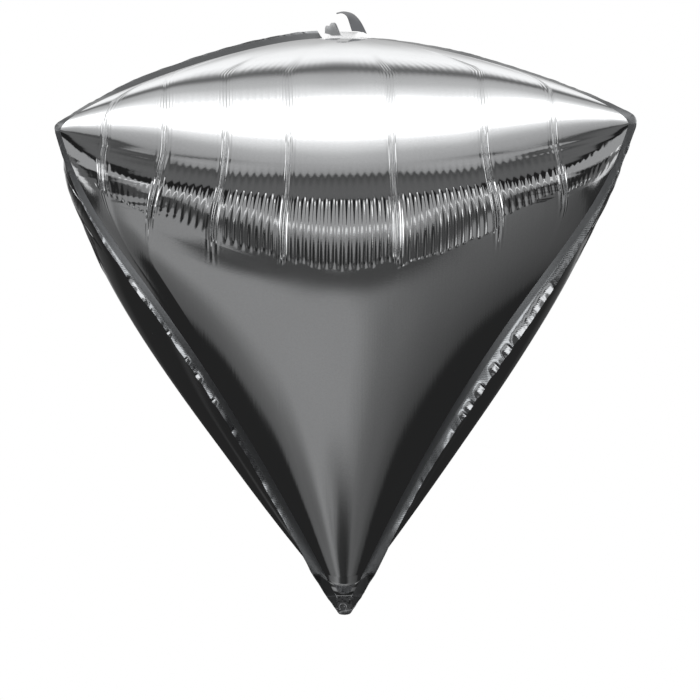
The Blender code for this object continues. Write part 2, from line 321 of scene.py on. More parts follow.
# Lights of these: beside the line inwards and outwards, the line, the gap, the level line, the
# narrowing patch, and what lies outside it from near to far.
BESIDE_LINE = (0.36, 0.09)
LINE_LIGHT = 1.4
GAP_LIGHT = 0.015
LEVEL_LIGHT = 1.0
PATCH_LIGHT = 0.26
OUTSIDE_PATCH = (0.065, 0.02, 0.12)
SIDE_FROM = (68.0, 73.0)
SIDE_LIGHT = 0.03

# Upright softboxes to the sides, and low reflectors beside them: azimuths, then elevations. Each
# has a light higher up and one lower down, and the elevations between which it changes follow.
SOFTBOX = (68.0, 77.0, -53.0, 58.0)
SOFTBOX_LIGHTS = (1.6, 0.72)
REFLECTOR = (52.0, 68.0, -37.0, -19.0)
REFLECTOR_LIGHTS = (2.0, 2.0)
DIMMED_BETWEEN = (12.0, -4.0)

# Soft light from below: its direction, and its light against the angle from that direction.
GLOW_AZIMUTH = math.radians(-25)
GLOW_ELEVATION = math.radians(-66)
GLOW_STOPS = ((0, 0.28), (14, 0.27), (24, 0.15), (30, 0.12), (42, 0.08), (54, 0.04), (90, 0.02))


def bezier(start, first, second, end, t):
    """Points at t on a cubic curve, as arrays of reach and height."""
    u = 1.0 - t
    weights = (u * u * u, 3 * u * u * t, 3 * u * t * t, t * t * t)
    points = (start, first, second, end)
    return tuple(sum(w * p[i] for w, p in zip(weights, points)) for i in (0, 1))


def seam_curve(row):
    below = bezier(SEAM_START, *SEAM_LOWER_HANDLES, CORNER, np.minimum(row, 1.0))
    above = bezier(CORNER, *SEAM_UPPER_HANDLES, (0.0, APEX_HEIGHT), np.maximum(row - 1.0, 0.0))
    return tuple(np.where(row <= 1.0, low, high) for low, high in zip(below, above))


def mid_curve(row):
    share_below_rim = 1.0 - CORNER_ROW_ANGLE / 2
    t = np.clip(row / share_below_rim, 0.0, 1.0)
    cone = bezier(MID_START, *MID_LOWER_HANDLES, RIM, t)
    part = np.clip((row - share_below_rim) / (1.0 - share_below_rim), 0.0, 1.0)
    angle = CORNER_ROW_ANGLE * part
    angle = angle + np.maximum(row - 1.0, 0.0) * (math.pi / 2 - CORNER_ROW_ANGLE)
    dome = (RIM[0] * np.cos(angle), RIM[1] + (APEX_HEIGHT - RIM[1]) * np.sin(angle))
    return tuple(np.where(row < share_below_rim, low, high) for low, high in zip(cone, dome))


def smooth(low, high, value):
    t = np.clip((value - low) / (high - low), 0.0, 1.0)
    return t * t * (3.0 - 2.0 * t)


def between(value, rise, fall):
    """1 from the end of one range to the start of the other, and 0 outside them."""
    return smooth(*rise, value) * (1.0 - smooth(*fall, value))


def averaged(values, count):
    """Running mean over an odd count of values."""
    padded = np.pad(values, count // 2, mode="edge")
    return np.convolve(padded, np.full(count, 1 / count), mode="valid")


def lower_edge(place):
    """Row at which the folds end below."""
    start, rise, power = LOWER_EDGE
    return start + rise * np.abs(place) ** power


def swell(row):
    """Extra reach and extra height just inside the seams."""
    rising = SHOULDER * smooth(SHOULDER_START_ROW, SHOULDER_FULL_ROW, row)
    span = 1.0 - SHOULDER_FULL_ROW
    t = np.clip((row - SHOULDER_FULL_ROW) / span, 0.0, 1.0)
    falling = SHOULDER * (1.0 - t) ** 2 * (1.0 + 2.0 * t) + SHOULDER_FALL * span * t * t * (1.0 - t)
    t = np.clip(row - 1.0, 0.0, 1.0)
    bump = SHOULDER_RISE_RATE * t * (1.0 - t) ** 3
    below = np.where(row <= SHOULDER_FULL_ROW, rising, falling)
    return np.where(row <= 1.0, below, SHOULDER_REACH_ABOVE * bump), SHOULDER_RISE_ABOVE * bump


def rounded_points(row, across):
    """Front panel with its turn from dome to cone rounded over, away from the seams."""
    plain = panel_points(row, across)
    total, weights = 0.0, 0.0
    for k in np.linspace(-2.0, 2.0, 9):
        weight = math.exp(-k * k / 2)
        total = total + weight * panel_points(np.clip(row + k * ROUNDING, 0.0, 2.0), across)
        weights += weight
    off_seam = np.clip((1.0 - np.abs(across)) / ROUNDED_MARGIN, 0.0, 1.0)
    share = smooth(*ROUNDED_FROM, np.abs(across)) * off_seam * between(row, *ROUNDED_ROWS)
    return plain + (total / weights - plain) * share[..., None]


def bowed(points):
    """Shifts the envelope slightly sideways between the tip and the corners."""
    shift = BOW * np.sin(math.pi * np.clip(points[..., 2] / BOW_TOP, 0.0, 1.0))
    return points - shift[..., None] * np.array([1.0, 0.0, 0.0])


def half_width(row):
    return seam_curve(row)[0] * math.sin(SEAM_AZIMUTH)


def panel_points(row, across):
    """Smooth front panel at arrays of row and across."""
    seam_reach, seam_height = seam_curve(row)
    mid_reach, mid_height = mid_curve(row)
    extra_reach, extra_height = swell(row)
    edge_depth = seam_reach * math.cos(SEAM_AZIMUTH)
    bend = across**2
    edge = np.abs(across) ** SHOULDER_POWER
    reach = mid_reach + (edge_depth - mid_reach + extra_reach) * bend - extra_reach * edge
    height = mid_height + (seam_height - mid_height + extra_height) * bend
    height = height - extra_height * edge
    return np.stack([half_width(row) * across, -reach, height], axis=-1)


def crowded(low, high, count, peaks):
    """Values from low to high, closer together round each (place, spread, weight) in peaks."""
    fine = np.linspace(low, high, 6001)
    density = np.ones_like(fine)
    for place, spread, weight in peaks:
        density += weight * np.exp(-(((fine - place) / spread) ** 2))
    total = np.concatenate([[0.0], np.cumsum((density[1:] + density[:-1]) / 2)])
    return np.interp(np.linspace(0.0, total[-1], count + 1), total, fine)


def grid_normals(points):
    normal = np.cross(np.gradient(points, axis=1), np.gradient(points, axis=0))
    return normal / np.maximum(np.linalg.norm(normal, axis=-1, keepdims=True), 1e-12)


def noise_line(rng, coordinate, step, octaves=1):
    """Smooth random values along a coordinate, about -1 to 1, with features of the given step."""
    total = np.zeros_like(coordinate)
    for octave in range(octaves):
        place = (coordinate - coordinate.min()) * 2**octave / step
        values = rng.uniform(-1.0, 1.0, int(place.max()) + 3)
        base = np.floor(place).astype(int)
        t = place - base
        t = t * t * (3.0 - 2.0 * t)
        total += (values[base] * (1 - t) + values[base + 1] * t) / 2**octave
    return total


def noise_field(rng, first, second, first_step, second_step):
    """Smooth random values over two coordinates, about -1 to 1."""
    a = (first - first.min()) / first_step
    b = (second - second.min()) / second_step
    values = rng.uniform(-1.0, 1.0, (int(a.max()) + 3, int(b.max()) + 3))
    i, j = np.floor(a).astype(int), np.floor(b).astype(int)
    s, t = a - i, b - j
    s = s * s * (3.0 - 2.0 * s)
    t = t * t * (3.0 - 2.0 * t)
    near = values[i, j] * (1 - t) + values[i, j + 1] * t
    far = values[i + 1, j] * (1 - t) + values[i + 1, j + 1] * t
    return near * (1 - s) + far * s


def turned(points, azimuth):
    c, s = math.cos(azimuth), math.sin(azimuth)
    x, y, z = points[..., 0], points[..., 1], points[..., 2]
    return np.stack([c * x - s * y, s * x + c * y, z], axis=-1)


def pressed(points):
    """Flattens what lies below the tip's crease towards the plane of the seal."""
    x, y, z = points[..., 0], points[..., 1], points[..., 2]
    top = PRESS_TOP + PRESS_ARCH * np.minimum((x / PRESS_ARCH_REACH) ** 2, 2.0)
    share = np.clip((top - z) / (top - PRESS_BOTTOM), 0.0, 1.0)
    return np.stack([x, y * (1.0 - (1.0 - PRESS_SHARE) * share), z], axis=-1)


def film_mesh(name, grids, material, closed_across=False):
    """One mesh from grids of (points, coordinates on the film), facing as their normals do."""
    points, places, quads = [], [], []
    start = 0
    for grid, place in grids:
        rows, columns = grid.shape[:2]
        index = start + np.arange(rows * columns).reshape(rows, columns)
        if closed_across:
            index = np.concatenate([index, index[:, :1]], axis=1)
        corners = (index[:-1, :-1], index[:-1, 1:], index[1:, 1:], index[1:, :-1])
        quads.append(np.stack(corners, axis=-1).reshape(-1, 4))
        points.append(grid.reshape(-1, 3))
        places.append(place.reshape(-1, 2))
        start += rows * columns
    points, places = np.concatenate(points), np.concatenate(places)
    corners = np.concatenate(quads).ravel().astype(np.int32)
    mesh = bpy.data.meshes.new(name)
    mesh.vertices.add(len(points))
    mesh.vertices.foreach_set("co", points.astype(np.float32).ravel())
    mesh.loops.add(len(corners))
    mesh.loops.foreach_set("vertex_index", corners)
    mesh.polygons.add(len(corners) // 4)
    mesh.polygons.foreach_set("loop_start", np.arange(len(corners) // 4, dtype=np.int32) * 4)
    mesh.update(calc_edges=True)
    layer = mesh.uv_layers.new(name="film")
    layer.data.foreach_set("uv", places[corners].astype(np.float32).ravel())
    mesh.shade_smooth()
    mesh.set_sharp_from_angle(angle=math.radians(60))
    mesh.materials.append(material)
    piece = bpy.data.objects.new(name, mesh)
    bpy.context.scene.collection.objects.link(piece)
    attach(piece, "root")
    return piece


def columns_at(row, columns, pleats):
    """Across values of the columns at one row, so that folds and pleats run along them."""
    held = min(max(row, FOLD_LINE_ROWS[0]), FOLD_LINE_ROWS[1])
    lines = np.array(pleats)
    spread = FOLD_SPREAD * (1.0 - smooth(*FOLD_SPREAD_ROWS, held))
    spread = spread * (1.0 - FOLD_SPREAD_LOSS * lines**4)
    lines = lines * RIM_HALF_WIDTH * (1.0 + spread) / half_width(np.float64(held))
    size = np.abs(lines)
    limit, room = FOLD_LINE_LIMIT
    held_in = limit + room * (1.0 - np.exp(-(size - limit) / room))
    lines = np.sign(lines) * np.where(size < limit, size, held_in)
    return np.interp(columns, [-1.0, *pleats, 1.0], [-1.0, *lines, 1.0])


def panel_grid(pleats, edge_steps):
    """Rows, across values and rim places of a panel's mesh, with rows along the folds' edge."""
    peaks = [(0.0, *MIDDLE_CROWDING)] + [(line, *PLEAT_CROWDING) for line in pleats]
    place = crowded(-1.0, 1.0, PANEL_COLUMNS, peaks)
    levels = np.linspace(0.0, 2.0, TABLE_ROWS)
    table = np.stack([columns_at(level, place, pleats) for level in levels])
    section = np.searchsorted(pleats, place)
    above = levels[:, None] - lower_edge(table) - np.array(edge_steps)[section]
    above = np.maximum.accumulate(above, axis=0)
    edge = np.array([np.interp(0.0, above[:, j], levels) for j in range(len(place))])
    marks = np.concatenate([[0], np.cumsum(ROW_COUNTS)])
    counts = np.arange(marks[-1] + 1)
    row, across = np.empty((len(counts), len(place))), np.empty((len(counts), len(place)))
    for j, level in enumerate(averaged(edge, EDGE_AVERAGE)):
        knots = (JOIN_ROW, level - EDGE_BAND[0], level + EDGE_BAND[1], RIM_ROW, LAST_ROW)
        row[:, j] = np.interp(counts, marks, knots)
        across[:, j] = np.interp(row[:, j], levels, table[:, j])
    return row, across, np.broadcast_to(place, row.shape), np.broadcast_to(edge, row.shape)


def gathers(rng, row, place, lower, pleats, strengths, ends, tips):
    """Height of the folds and pleats above the smooth panel."""
    section = np.searchsorted(pleats, place[0])
    phase = rng.uniform(0.0, 2 * math.pi, len(pleats) + 1)[section]
    strength, end = np.array(strengths)[section], np.array(ends)[section]
    along = place * RIM_HALF_WIDTH
    share, step = FOLD_DRIFT
    turn = 2 * math.pi * along / FOLD_LENGTH + phase + share * noise_line(rng, along, step, 2)
    second, third = FOLD_OVERTONES
    wave = np.cos(turn) + second * np.cos(2 * turn) + third * np.cos(3 * turn)
    mean, share, step = FOLD_LEVEL
    level = mean + share * noise_line(rng, along, step, 2)
    lower = lower + LOWER_EDGE_NOISE * noise_line(rng, along, FOLD_LENGTH)
    # Folds that end sharply below each close in a dimple, also in the smoother sections.
    dimple = np.exp(-(((row - lower - DIMPLE_ROW) / DIMPLE_SIZE) ** 2))
    dimple = dimple * (1.0 - smooth(*DIMPLE_SIDES, np.abs(place))) * smooth(*DIMPLE_ENDS, end)
    strength = np.maximum(strength, DIMPLE_STRENGTH * dimple)
    fade = smooth(0.0, end, row - lower)
    fade = fade * (1.0 - (1.0 - FOLD_DOME_SHARE) * smooth(*FOLD_RIM_ROWS, row))
    height = FOLD_HEIGHT * strength * level * fade * wave * (1.0 - smooth(*FOLD_DOME_ROWS, row))
    # The film between two pleats bellies out a little, and each stretch tips its own way.
    lines = np.array(pleats)
    knots = np.sort(np.concatenate([lines - TIPPING_BLEND, lines + TIPPING_BLEND]))
    tip = np.interp(place, [-1.2, *knots, 1.2], np.repeat(tips, 2))
    level_height = seam_curve(row)[1] * 0.5 + mid_curve(row)[1] * 0.5
    near_rim = np.exp(-(((row - BELLY_ROW) / BELLY_SIZE) ** 2))
    height = height + tip * (level_height - seam_curve(TIPPING_ROW)[1]) * near_rim
    for left, right in zip(pleats, pleats[1:]):
        share = np.clip((place - left) / (right - left), 0.0, 1.0)
        height = height + BELLY_HEIGHT * 4 * share * (1.0 - share) * near_rim
    # A pleat is a packet of finer waves that runs on, faintly, up the dome.
    for line in pleats:
        away = along - line * RIM_HALF_WIDTH
        fade = smooth(0.0, PLEAT_FADE, row - lower_edge(line) + PLEAT_OVERRUN)
        fade = fade * (1.0 - smooth(*PLEAT_TOP_ROWS, row))
        packet = np.exp(-((away / PLEAT_REACH) ** 2))
        tilt = rng.uniform(-PLEAT_TILT, PLEAT_TILT)
        wave = np.cos(2 * math.pi * away / PLEAT_LENGTH + tilt)
        height = height * (1.0 - packet * between(row, *PLEAT_ALONE_ROWS))
        height = height + PLEAT_HEIGHT * fade * packet * wave
        packet = np.exp(-((away / DOME_PLEAT_REACH) ** 2))
        wave = np.cos(2 * math.pi * away / DOME_PLEAT_LENGTH + tilt)
        height = height + DOME_PLEAT_HEIGHT * between(row, *DOME_PLEAT_ROWS) * packet * wave
    # To the left the film swells a little below the folds, so that it stands steeper there.
    below = np.maximum(lower_edge(place) - row, 0.0) / SWELL_ROWS
    swelling = SWELL_HEIGHT * below * np.exp(1.0 - below)
    return height + swelling * np.exp(-(((place - SWELL_PLACE) / SWELL_WIDTH) ** 2))


def panel_piece(side, number, material):
    rng = np.random.default_rng(PANEL_SEED + number)
    if side == "front":
        pleats, edge_steps, strengths = FRONT_PLEATS, FRONT_EDGE_STEPS, FRONT_STRENGTHS
        ends, tips = FRONT_ENDS, FRONT_TIPS
    else:
        count = len(FRONT_PLEATS)
        shifts = rng.uniform(-OTHER_PLEAT_SHIFT, OTHER_PLEAT_SHIFT, count)
        pleats = tuple(np.linspace(*OTHER_PLEATS, count) + shifts)
        edge_steps = tuple(rng.uniform(-OTHER_EDGE_STEP, OTHER_EDGE_STEP, count + 1))
        strengths = FRONT_STRENGTHS if side == "back" else FRONT_STRENGTHS[::-1]
        ends = rng.uniform(*OTHER_ENDS, count + 1)
        tips = rng.uniform(-OTHER_TIP, OTHER_TIP, count + 1)
    row, across, place, lower = panel_grid(pleats, edge_steps)
    points = rounded_points(row, across)
    points[..., 1] += SLIM[side] * between(row, *SLIM_ROWS) * (1.0 - across**2)
    height = gathers(rng, row, place, lower, pleats, strengths, ends, tips)
    near_seam = (1.0 - np.abs(across)) * half_width(row)
    height = height * smooth(0.0, SEAM_MARGIN, near_seam)
    uneven = noise_field(rng, row, across, *UNEVEN_STEPS)
    height = height + UNEVEN_HEIGHT * uneven * smooth(0.0, UNEVEN_MARGIN, near_seam)
    outwards = smooth(*WRINKLE_SIDES, np.abs(across))
    outwards = outwards * (WRINKLE_TAPER[0] - np.abs(across)) / WRINKLE_TAPER[1]
    coarse, fine = (noise_field(rng, row, across, *steps) for steps in WRINKLE_STEPS)
    wrinkles = (coarse + 0.5 * fine) * outwards * between(row, *WRINKLE_ROWS)
    height = height + WRINKLE_HEIGHT * wrinkles
    body = points + grid_normals(points) * height[..., None]

    # The patch at the tip ends on a short straight edge beside the seal.
    share = np.linspace(-1.0, 1.0, TIP_COLUMNS + 1)
    lowest = np.linspace(-1.0, 0.0, TIP_ROWS // 3)[:-1]
    level = np.concatenate([lowest, np.linspace(0.0, JOIN_ROW, TIP_ROWS)])
    row, across = np.meshgrid(level, share, indexing="ij")
    tip = panel_points(np.maximum(row, 0.0), across)
    end = np.stack([across * TIP_END[0], 0 * across - TIP_END[1], 0 * across + TIP_END[2]], axis=-1)
    below = np.clip(-row, 0.0, 1.0)[..., None]
    tip = tip * (1.0 - below) + end * below
    from_arch = tip[..., 2] - PRESS_TOP - PRESS_ARCH * (tip[..., 0] / PRESS_ARCH_REACH) ** 2
    wave = 0.6 + 0.4 * noise_line(rng, tip[..., 0], CREASE_STEP)
    ridge = CREASE_HEIGHT * wave * np.exp(-((from_arch / CREASE_WIDTH) ** 2))
    end_width = np.abs(tip[0, -1, 0] - tip[0, 0, 0])
    ridge = ridge * smooth(0.0, CREASE_MARGIN, (1.0 - np.abs(across)) * end_width)
    tip = tip + grid_normals(tip) * ridge[..., None]

    turn = number * 2 * math.pi / PANEL_COUNT
    grids = []
    for grid in (body, tip):
        place = np.stack([grid[..., 0], grid[..., 2] - grid[..., 1]], axis=-1)
        grids.append((bowed(pressed(turned(grid, turn))), place))
    piece = film_mesh("film_" + side, grids, material)
    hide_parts("panel_" + side)
    return piece


def pulses(rng, travel, spacing, width):
    """0 to 1 along a path: soft-sided pulses about one spacing apart."""
    centres = np.arange(0.0, travel[-1] + spacing, spacing)
    centres = centres + rng.uniform(-0.25, 0.25, len(centres)) * spacing
    widths = width * rng.uniform(0.7, 1.3, len(centres))
    near = np.abs(travel[:, None] - centres[None, :]) / (widths[None, :] / 2)
    return (1.0 - smooth(0.45, 1.15, near)).max(axis=1)


def flange_curl(corner, rng, row, travel, oblique):
    """How far the outer half of a flange curls back, in radians, with slanting wrinkles."""
    patches, curled = pulses(rng, travel, *PATCHES), between(row, *CURLED_ROWS)
    if corner == "front_left":
        patches = pulses(rng, travel, *PATCHES_FRONT_LEFT)
        curled = between(row, *CURLED_ROWS_FRONT_LEFT)
    amount = np.maximum(patches * between(row, *PATCH_ROWS), curled)
    amount = np.maximum(amount, 0.8 * patches * smooth(*UPPER_PATCH_ROWS, row))[:, None]
    lower = (1.0 - smooth(*CURL_END_ROWS, row))[:, None]
    crinkles = 0
    for height, step in CRINKLES:
        crinkles = crinkles + height * noise_line(rng, oblique, step)
    height, step = CURL_DRIFT
    slow = height * noise_line(rng, travel, step, 2)[:, None]
    return lower * (CURL * amount + crinkles * (0.25 + 0.75 * amount) + slow)


def flange_piece(corner, number, lean_side, material):
    """Heat-sealed flange: a flat band next to the seam, and outside it a ruffled free edge."""
    rng = np.random.default_rng(FLANGE_SEED + number)
    row = crowded(0.0, FLANGE_LAST_ROW, FLANGE_STEPS, [(1.0, 0.03, 1.5)])
    start = np.linspace(0.0, 1.0, START_STEPS)[:-1, None]
    first = np.array(FLANGE_START) * (1.0 - start) + np.array(SEAM_START) * start
    path = np.concatenate([first, np.stack(seam_curve(row), axis=-1)])
    row = np.concatenate([FLANGE_ROWS[0] * (1.0 - start[:, 0]), row])
    step = np.gradient(path, axis=0)
    step = step / np.linalg.norm(step, axis=-1, keepdims=True)
    travel = np.concatenate([[0.0], np.cumsum(np.linalg.norm(np.diff(path, axis=0), axis=-1))])
    in_front = {"front_right": FRONT_RIGHT_WIDTHS, "front_left": FRONT_LEFT_WIDTHS}
    width = np.interp(row, FLANGE_ROWS, in_front.get(corner, BACK_WIDTHS)) / 1000
    change, change_step = WIDTH_NOISE
    width = averaged(width, WIDTH_AVERAGE) + change * noise_line(rng, travel, change_step, 2)

    q = np.linspace(0.0, 1.0, FLANGE_DIVISIONS + 1)
    outer = smooth(*OUTER_SHARE, q)[None, :]
    rows, leans = zip(*(FRONT_LEFT_LEAN if corner == "front_left" else OTHER_LEAN))
    lean = np.radians(np.interp(row, rows, leans))[:, None]
    oblique = travel[:, None] + CRINKLE_SLANT * q[None, :] * width[:, None]
    bend = lean + flange_curl(corner, rng, row, travel, oblique) * outer
    upper = smooth(*UPPER_ROWS, row)[:, None]
    change, change_step = UPPER_CRINKLE
    bend = bend + upper * outer * change * noise_line(rng, oblique, change_step)
    out = np.stack([step[:, 1], 0 * travel, -step[:, 0]], axis=-1)[:, None, :]
    sideways = np.array([0.0, lean_side, 0.0])
    along = out * np.cos(bend)[..., None] + sideways * np.sin(bend)[..., None]
    stride = (width / FLANGE_DIVISIONS)[:, None, None]
    steps = np.cumsum((along[:, 1:] + along[:, :-1]) / 2, axis=1)
    reach = np.concatenate([0 * along[:, :1], steps], axis=1)
    foot = np.stack([path[:, 0], 0 * travel, path[:, 1]], axis=-1)[:, None, :]
    sheet = foot - out * 0.0002 + reach * stride
    through = np.cross(along, np.stack([step[:, 0], 0 * travel, step[:, 1]], axis=-1)[:, None, :])
    through = through * FLANGE_THICKNESS / 2
    ring = np.concatenate([sheet - through, (sheet + through)[:, ::-1]], axis=1)
    place = np.stack([travel[:, None] + 0 * q, q * width[:, None]], axis=-1)
    place = np.concatenate([place, place[:, ::-1]], axis=1)
    azimuth = -SEAM_AZIMUTH + number * 2 * math.pi / PANEL_COUNT
    ring = bowed(pressed(turned(ring, azimuth)))
    piece = film_mesh("flange_" + corner, [(ring, place)], material, True)
    # The photo shows no mirror image of a flange in the film beside it.
    piece.visible_glossy = False
    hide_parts("seam_fin_" + corner)
    return piece


def tab_piece(material):
    rng = np.random.default_rng(TAB_SEED)
    z = TAB_TOP * np.linspace(0.0, 1.0, 73) ** 1.5
    q = np.linspace(-1.0, 1.0, 61)
    height, share = np.meshgrid(z, q, indexing="ij")
    x = share * np.interp(height, TAB_HEIGHTS, TAB_HALF_WIDTHS)
    away = np.hypot(x - WELD_PLACE[0], height - WELD_PLACE[1])
    relief = WELD_RIM * (1.0 - smooth(0.8, 1.15, away / WELD_RADIUS))
    relief = relief - WELD_HOLLOW * (1.0 - smooth(0.0, 0.8, away / WELD_RADIUS))
    depth, step = TAB_CRUMPLE
    relief = relief + depth * noise_field(rng, x, height, step, step)
    depth, level, slant, width = TAB_CREASE
    relief = relief + depth * np.exp(-(((height - level - slant * x) / width) ** 2))
    edge = smooth(0.0, 0.12, 1.0 - np.abs(share))
    y = (TAB_HALF_THICKNESS + relief) * (0.25 + 0.75 * edge)
    front = np.stack([x, -y, height], axis=-1)
    back = np.stack([x, y, height], axis=-1)
    ring = np.concatenate([front, back[:, ::-1]], axis=1)
    place = ring[..., [0, 2]]
    piece = film_mesh("tip_tab", [(ring, place)], material, True)
    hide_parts("tip_seal")
    return piece


def neck_piece(material):
    """Crumpled white film round the fill hole, a low ridge along the top of the dome."""
    rng = np.random.default_rng(NECK_SEED)
    x = np.linspace(NECK_LEFT, NECK_RIGHT, 150)
    q = np.linspace(-1.0, 1.0, 60)
    along, side = np.meshgrid(x, q, indexing="ij")
    left, right = NECK_ENDS
    ends = smooth(0.0, left, along - NECK_LEFT) * smooth(0.0, right, NECK_RIGHT - along)
    share, step = NECK_RAGGEDNESS
    ragged = 0.75 + share * noise_line(rng, along, step, 2)
    y = side * NECK_DEPTH * ragged * (0.3 + 0.7 * ends)
    fall = (APEX_HEIGHT - RIM[1]) * (1.0 - np.sqrt(1.0 - (np.hypot(along, y) / RIM[0]) ** 2))
    rise = (NECK_TOP - APEX_HEIGHT) * ends * (1.0 - np.abs(side) ** 1.6)
    height, *steps = NECK_CRUMPLE
    crumple = height * noise_field(rng, along, y, *steps)
    height, *steps = NECK_FINE_CRUMPLE
    crumple = crumple + height * noise_field(rng, along + y, y, *steps)
    z = APEX_HEIGHT - fall + rise + crumple * (1.0 - side**4) * ends - NECK_BULGE * side**4
    grid = np.stack([along, y, np.minimum(z, NECK_TOP + NECK_BULGE)], axis=-1)
    piece = film_mesh("neck_film", [(grid, grid[..., :2])], material)
    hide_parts("fill_neck")
    return piece


def curl_curve(points, t):
    """Smooth curve through a few (x, z) points, at t from 0 to 1."""
    knots = np.linspace(0.0, 1.0, len(points))
    x = np.interp(t, knots, [p[0] for p in points])
    z = np.interp(t, knots, [p[1] for p in points])
    for _ in range(60):
        x[1:-1] = (x[:-2] + 2 * x[1:-1] + x[2:]) / 4
        z[1:-1] = (z[:-2] + 2 * z[1:-1] + z[2:]) / 4
    return x, z


# The tail's near and far edges, seen from the front, from the neck to its pointed end.
TAIL_NEAR_EDGE = (
    (0.0108, 0.4118), (0.0089, 0.4180), (0.0076, 0.4225), (0.0040, 0.4252), (0.0002, 0.4246),
)
TAIL_FAR_EDGE = (
    (0.0215, 0.4112), (0.0176, 0.4200), (0.0122, 0.4259), (0.0064, 0.4270), (0.0002, 0.4249),
)
TAIL_HALF_DEPTH = 0.0070
TAIL_THICKNESS = 0.0003

# Roll: foot, ends and half-depth, and its lumps: height, place, half-width and steepness.
ROLL_FOOT = 0.4092
ROLL_ENDS = (-0.0086, 0.0040)
ROLL_DEPTH = 0.0035
ROLL_BACK = 0.0010
ROLL_LUMPS = ((0.0096, -0.0022, 0.0042, 3), (0.0074, -0.0064, 0.0024, 4))


def tail_piece(material):
    """A short curled strip of film that stands on the neck."""
    t = np.linspace(0.0, 1.0, 61)
    near, far = curl_curve(TAIL_NEAR_EDGE, t), curl_curve(TAIL_FAR_EDGE, t)
    side = np.linspace(0.0, 1.0, 25)
    bow = np.sin(math.pi * side) * 0.0006
    grid = np.empty((len(t), len(side), 3))
    for i, (low, high) in enumerate(zip(near, far)):
        grid[..., 2 * i] = low[:, None] * (1 - side) + high[:, None] * side
    narrow = 1.0 - 0.75 * smooth(0.55, 1.0, t)[:, None]
    grid[..., 1] = (2 * side - 1)[None, :] * TAIL_HALF_DEPTH * narrow
    grid[..., 2] += bow[None, :]
    through = grid_normals(grid) * TAIL_THICKNESS / 2
    ring = np.concatenate([grid + through, (grid - through)[:, ::-1]], axis=1)
    piece = film_mesh("tail_curl", [(ring, ring[..., [1, 2]])], material, True)
    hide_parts("fill_tail")
    return piece


def roll_piece(material):
    """The small rolled end of the tail, left of its foot and bedded in the neck."""
    rng = np.random.default_rng(ROLL_SEED)
    x = np.linspace(*ROLL_ENDS, 50)
    turn = np.linspace(0.0, math.pi, 30)
    along, angle = np.meshgrid(x, turn, indexing="ij")
    tall = np.zeros_like(along)
    for height, middle, half, power in ROLL_LUMPS:
        tall = np.maximum(tall, height * np.exp(-(np.abs((along - middle) / half) ** power)))
    tall = tall * smooth(0.0, 0.0006, along - x[0]) * smooth(0.0, 0.0020, x[-1] - along)
    ribs = 1.0 + 0.03 * noise_field(rng, along, angle, 0.0012, 0.5)
    height = ROLL_FOOT + tall * ribs * np.sin(angle) ** 0.8
    grid = np.stack([along, ROLL_BACK - ROLL_DEPTH * np.cos(angle), height], axis=-1)
    piece = film_mesh("tail_roll", [(grid, grid[..., :2])], material)
    return piece


def grey(light):
    return (light, light, light, 1.0)


def make_node(tree, kind, inputs, **settings):
    """A node with these settings, and with each input set to a value or linked to a socket."""
    node = tree.nodes.new(kind)
    for name, value in settings.items():
        setattr(node, name, value)
    for key, value in inputs.items():
        if isinstance(value, bpy.types.NodeSocket):
            tree.links.new(value, node.inputs[key])
        else:
            node.inputs[key].default_value = value
    return node


def math_node(tree, operation, *values):
    inputs = dict(enumerate(values))
    return make_node(tree, "ShaderNodeMath", inputs, operation=operation).outputs[0]


def soft_step(tree, value, low, high):
    """0 at low and 1 at high, which may be the lower one."""
    inputs = {"Value": value, "From Min": low, "From Max": high}
    node = make_node(tree, "ShaderNodeMapRange", inputs, interpolation_type="SMOOTHSTEP")
    return node.outputs["Result"]


def mixed(tree, factor, low, high):
    """Colour between two, each a tuple or a socket."""
    inputs = {"Factor": factor, 6: low, 7: high}
    return make_node(tree, "ShaderNodeMix", inputs, data_type="RGBA").outputs[2]


